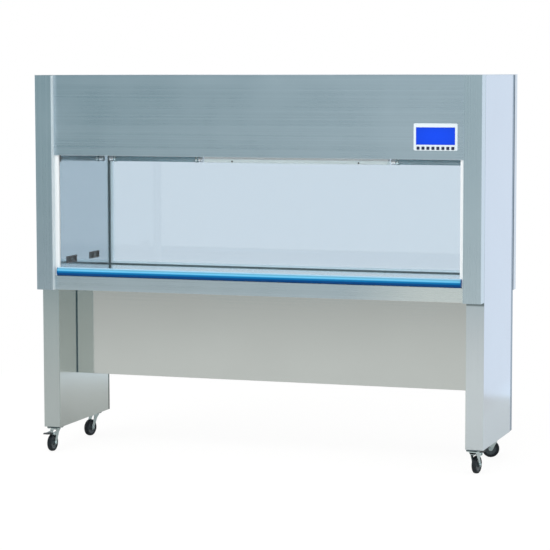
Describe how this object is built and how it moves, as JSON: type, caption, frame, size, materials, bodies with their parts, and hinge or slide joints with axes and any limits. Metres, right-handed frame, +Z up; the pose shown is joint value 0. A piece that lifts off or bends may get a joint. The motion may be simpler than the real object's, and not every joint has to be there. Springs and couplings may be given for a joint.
{
  "type": "laminar flow clean bench",
  "caption": "Stainless vertical flow clean bench with a sliding glass sash, blue grip, header display, glazed back, modesty panel and castors.",
  "frame": {"origin": "on the floor under the middle of the cabinet", "axes": "+X to the right along the bench, -Y towards the person working, +Z up"},
  "size_m": [1.98, 0.6769, 1.65],
  "materials": {
    "stainless": "brushed stainless sheet",
    "polished_stainless": "polished stainless sheet",
    "dark_frame": "grey enamel, satin",
    "zinc_steel": "zinc plated steel",
    "chrome_plate": "bright plated steel",
    "anodised_frame": "anodised aluminium",
    "motor_paint": "dark enamel",
    "white_paint": "white powder coat",
    "window_glass": "pale tinted toughened glass",
    "sash_glass": "clear toughened glass",
    "tube_glass": "quartz tube with pale caps",
    "opal": "opal diffuser, lit from within",
    "display": "lit blue display behind glass",
    "white_plastic": "white moulded plastic",
    "button_plastic": "dark keypad button",
    "black_plastic": "black moulded plastic",
    "blue_handle": "glossy blue extrusion",
    "black_rubber": "dark glazing rubber",
    "black_wheel": "dark moulded wheel",
    "filter_fabric": "pleated filter web"
  },
  "bodies": {
    "cabinet": {"side_panel_left": "stainless", "side_panel_right": "stainless", "leg_cover_left": "stainless", "leg_cover_right": "stainless", "leg_base_plates": "zinc_steel", "front_post_left": "stainless", "front_post_right": "stainless", "header_panel": "stainless", "sill_rail": "stainless", "rear_posts": "dark_frame", "rear_panel": "stainless", "rear_window": "window_glass", "window_gasket": "black_rubber", "chamber_wall_left": "polished_stainless", "chamber_wall_right": "polished_stainless", "work_surface": "polished_stainless", "worktop_beams": "zinc_steel", "modesty_panel": "stainless", "top_cover": "stainless", "intake_prefilters": "filter_fabric", "blower_housing": "zinc_steel", "blower_motor": "motor_paint", "plenum_box": "zinc_steel", "hepa_frame": "anodised_frame", "hepa_media": "filter_fabric", "air_diffuser": "white_paint", "sash_pocket_plate": "zinc_steel", "sash_guides": "white_plastic", "sash_limit_switch": "black_plastic", "control_bezel": "white_plastic", "display_screen": "display", "control_box": "black_plastic", "uv_tubes": "tube_glass", "tube_clips": "chrome_plate", "light_housing": "white_paint", "light_cover": "opal", "socket_outlets": "black_plastic", "power_inlet": "black_plastic", "castor_plates": "chrome_plate"},
    "sash": {"sash_glass": "sash_glass", "sash_handle": "blue_handle"},
    "impeller": {"blower_impeller": "zinc_steel"},
    "fork_front_left": {"castor_fork_front_left": "chrome_plate"},
    "wheel_front_left": {"castor_wheel_front_left": "black_wheel"},
    "brake_pedal_front_left": {"brake_pedal_front_left": "black_plastic"},
    "fork_front_right": {"castor_fork_front_right": "chrome_plate"},
    "wheel_front_right": {"castor_wheel_front_right": "black_wheel"},
    "brake_pedal_front_right": {"brake_pedal_front_right": "black_plastic"},
    "fork_rear_left": {"castor_fork_rear_left": "chrome_plate"},
    "wheel_rear_left": {"castor_wheel_rear_left": "black_wheel"},
    "fork_rear_right": {"castor_fork_rear_right": "chrome_plate"},
    "wheel_rear_right": {"castor_wheel_rear_right": "black_wheel"},
    "button_1": {"button_1": "button_plastic"},
    "button_2": {"button_2": "button_plastic"},
    "button_3": {"button_3": "button_plastic"},
    "button_4": {"button_4": "button_plastic"},
    "button_5": {"button_5": "button_plastic"},
    "button_6": {"button_6": "button_plastic"},
    "button_7": {"button_7": "button_plastic"},
    "button_8": {"button_8": "button_plastic"}
  },
  "joints": [
    {"name": "sash_slide", "type": "slide", "parent": "cabinet", "child": "sash", "axis": [0, 0, 1], "range_m": [0, 0.3]},
    {"name": "impeller_spin", "type": "hinge", "parent": "cabinet", "child": "impeller", "pos_m": [0, 0.0236, 1.5332], "axis": [1, 0, 0], "continuous": true},
    {"name": "castor_swivel_front_left", "type": "hinge", "parent": "cabinet", "child": "fork_front_left", "pos_m": [-0.947, -0.247, 0.105], "axis": [0, 0, 1], "continuous": true},
    {"name": "wheel_roll_front_left", "type": "hinge", "parent": "fork_front_left", "child": "wheel_front_left", "pos_m": [-0.94847, -0.27496, 0.0375], "axis": [-0.9986, 0.0523, 0], "continuous": true},
    {"name": "brake_press_front_left", "type": "hinge", "parent": "fork_front_left", "child": "brake_pedal_front_left", "pos_m": [-0.94941, -0.29294, 0.08], "axis": [0.9986, -0.0523, 0], "range_deg": [0, 12]},
    {"name": "castor_swivel_front_right", "type": "hinge", "parent": "cabinet", "child": "fork_front_right", "pos_m": [0.947, -0.247, 0.105], "axis": [0, 0, 1], "continuous": true},
    {"name": "wheel_roll_front_right", "type": "hinge", "parent": "fork_front_right", "child": "wheel_front_right", "pos_m": [0.95138, -0.21934, 0.0375], "axis": [0.9877, -0.1564, 0], "continuous": true},
    {"name": "brake_press_front_right", "type": "hinge", "parent": "fork_front_right", "child": "brake_pedal_front_right", "pos_m": [0.9542, -0.20157, 0.08], "axis": [-0.9877, 0.1564, 0], "range_deg": [0, 12]},
    {"name": "castor_swivel_rear_left", "type": "hinge", "parent": "cabinet", "child": "fork_rear_left", "pos_m": [-0.947, 0.18, 0.105], "axis": [0, 0, 1], "continuous": true},
    {"name": "wheel_roll_rear_left", "type": "hinge", "parent": "fork_rear_left", "child": "wheel_rear_left", "pos_m": [-0.95377, 0.15283, 0.0375], "axis": [-0.9703, 0.2419, 0], "continuous": true},
    {"name": "castor_swivel_rear_right", "type": "hinge", "parent": "cabinet", "child": "fork_rear_right", "pos_m": [0.947, 0.18, 0.105], "axis": [0, 0, 1], "continuous": true},
    {"name": "wheel_roll_rear_right", "type": "hinge", "parent": "fork_rear_right", "child": "wheel_rear_right", "pos_m": [0.91972, 0.1737, 0.0375], "axis": [-0.225, 0.9744, 0], "continuous": true},
    {"name": "button_1_press", "type": "slide", "parent": "cabinet", "child": "button_1", "axis": [0, 1, 0], "range_m": [0, 0.0012], "stiffness_N_per_m": 600, "springref_m": -0.0005},
    {"name": "button_2_press", "type": "slide", "parent": "cabinet", "child": "button_2", "axis": [0, 1, 0], "range_m": [0, 0.0012], "stiffness_N_per_m": 600, "springref_m": -0.0005},
    {"name": "button_3_press", "type": "slide", "parent": "cabinet", "child": "button_3", "axis": [0, 1, 0], "range_m": [0, 0.0012], "stiffness_N_per_m": 600, "springref_m": -0.0005},
    {"name": "button_4_press", "type": "slide", "parent": "cabinet", "child": "button_4", "axis": [0, 1, 0], "range_m": [0, 0.0012], "stiffness_N_per_m": 600, "springref_m": -0.0005},
    {"name": "button_5_press", "type": "slide", "parent": "cabinet", "child": "button_5", "axis": [0, 1, 0], "range_m": [0, 0.0012], "stiffness_N_per_m": 600, "springref_m": -0.0005},
    {"name": "button_6_press", "type": "slide", "parent": "cabinet", "child": "button_6", "axis": [0, 1, 0], "range_m": [0, 0.0012], "stiffness_N_per_m": 600, "springref_m": -0.0005},
    {"name": "button_7_press", "type": "slide", "parent": "cabinet", "child": "button_7", "axis": [0, 1, 0], "range_m": [0, 0.0012], "stiffness_N_per_m": 600, "springref_m": -0.0005},
    {"name": "button_8_press", "type": "slide", "parent": "cabinet", "child": "button_8", "axis": [0, 1, 0], "range_m": [0, 0.0012], "stiffness_N_per_m": 600, "springref_m": -0.0005}
  ]
}
